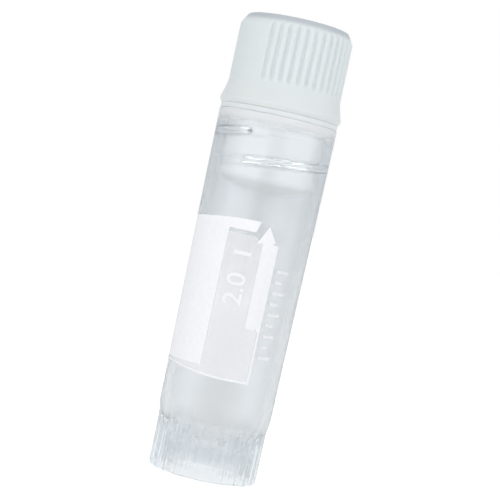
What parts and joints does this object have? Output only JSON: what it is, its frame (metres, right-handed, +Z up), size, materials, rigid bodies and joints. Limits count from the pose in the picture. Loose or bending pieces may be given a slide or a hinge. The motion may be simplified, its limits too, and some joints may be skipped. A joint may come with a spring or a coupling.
{
  "type": "cryovial",
  "caption": "Round-bottomed cryogenic storage tube standing on a star foot, with an internally threaded screw cap and a ring seal.",
  "frame": {"origin": "centre of the foot, on the surface that the vial stands on", "axes": "+Z up along the tube's axis, towards the cap; -Y is the front, where the printed arrow and figure are; +X to the right of the front"},
  "size_m": [0.013, 0.013, 0.048],
  "materials": {
    "tube_plastic": "translucent natural polypropylene, lightly frosted",
    "cap_plastic": "milky translucent polypropylene, satin",
    "seal_rubber": "soft matt silicone",
    "print_ink": "matt white writing ink"
  },
  "bodies": {
    "vial": {"vial_tube": "tube_plastic"},
    "seal": {"ring_seal": "seal_rubber"},
    "cap": {"screw_cap": "cap_plastic"}
  },
  "joints": [
    {"name": "cap_lift", "type": "slide", "parent": "vial", "child": "seal", "axis": [0, 0, 1], "range_m": [0, 0.009]},
    {"name": "cap_turn", "type": "hinge", "parent": "seal", "child": "cap", "pos_m": [0, 0, 0.0384], "axis": [0, 0, 1], "range_deg": [0, 1080]}
  ],
  "couplings": [
    {"joint": "cap_turn", "follows": "cap_lift", "rad_per_m": 2094.4}
  ]
}
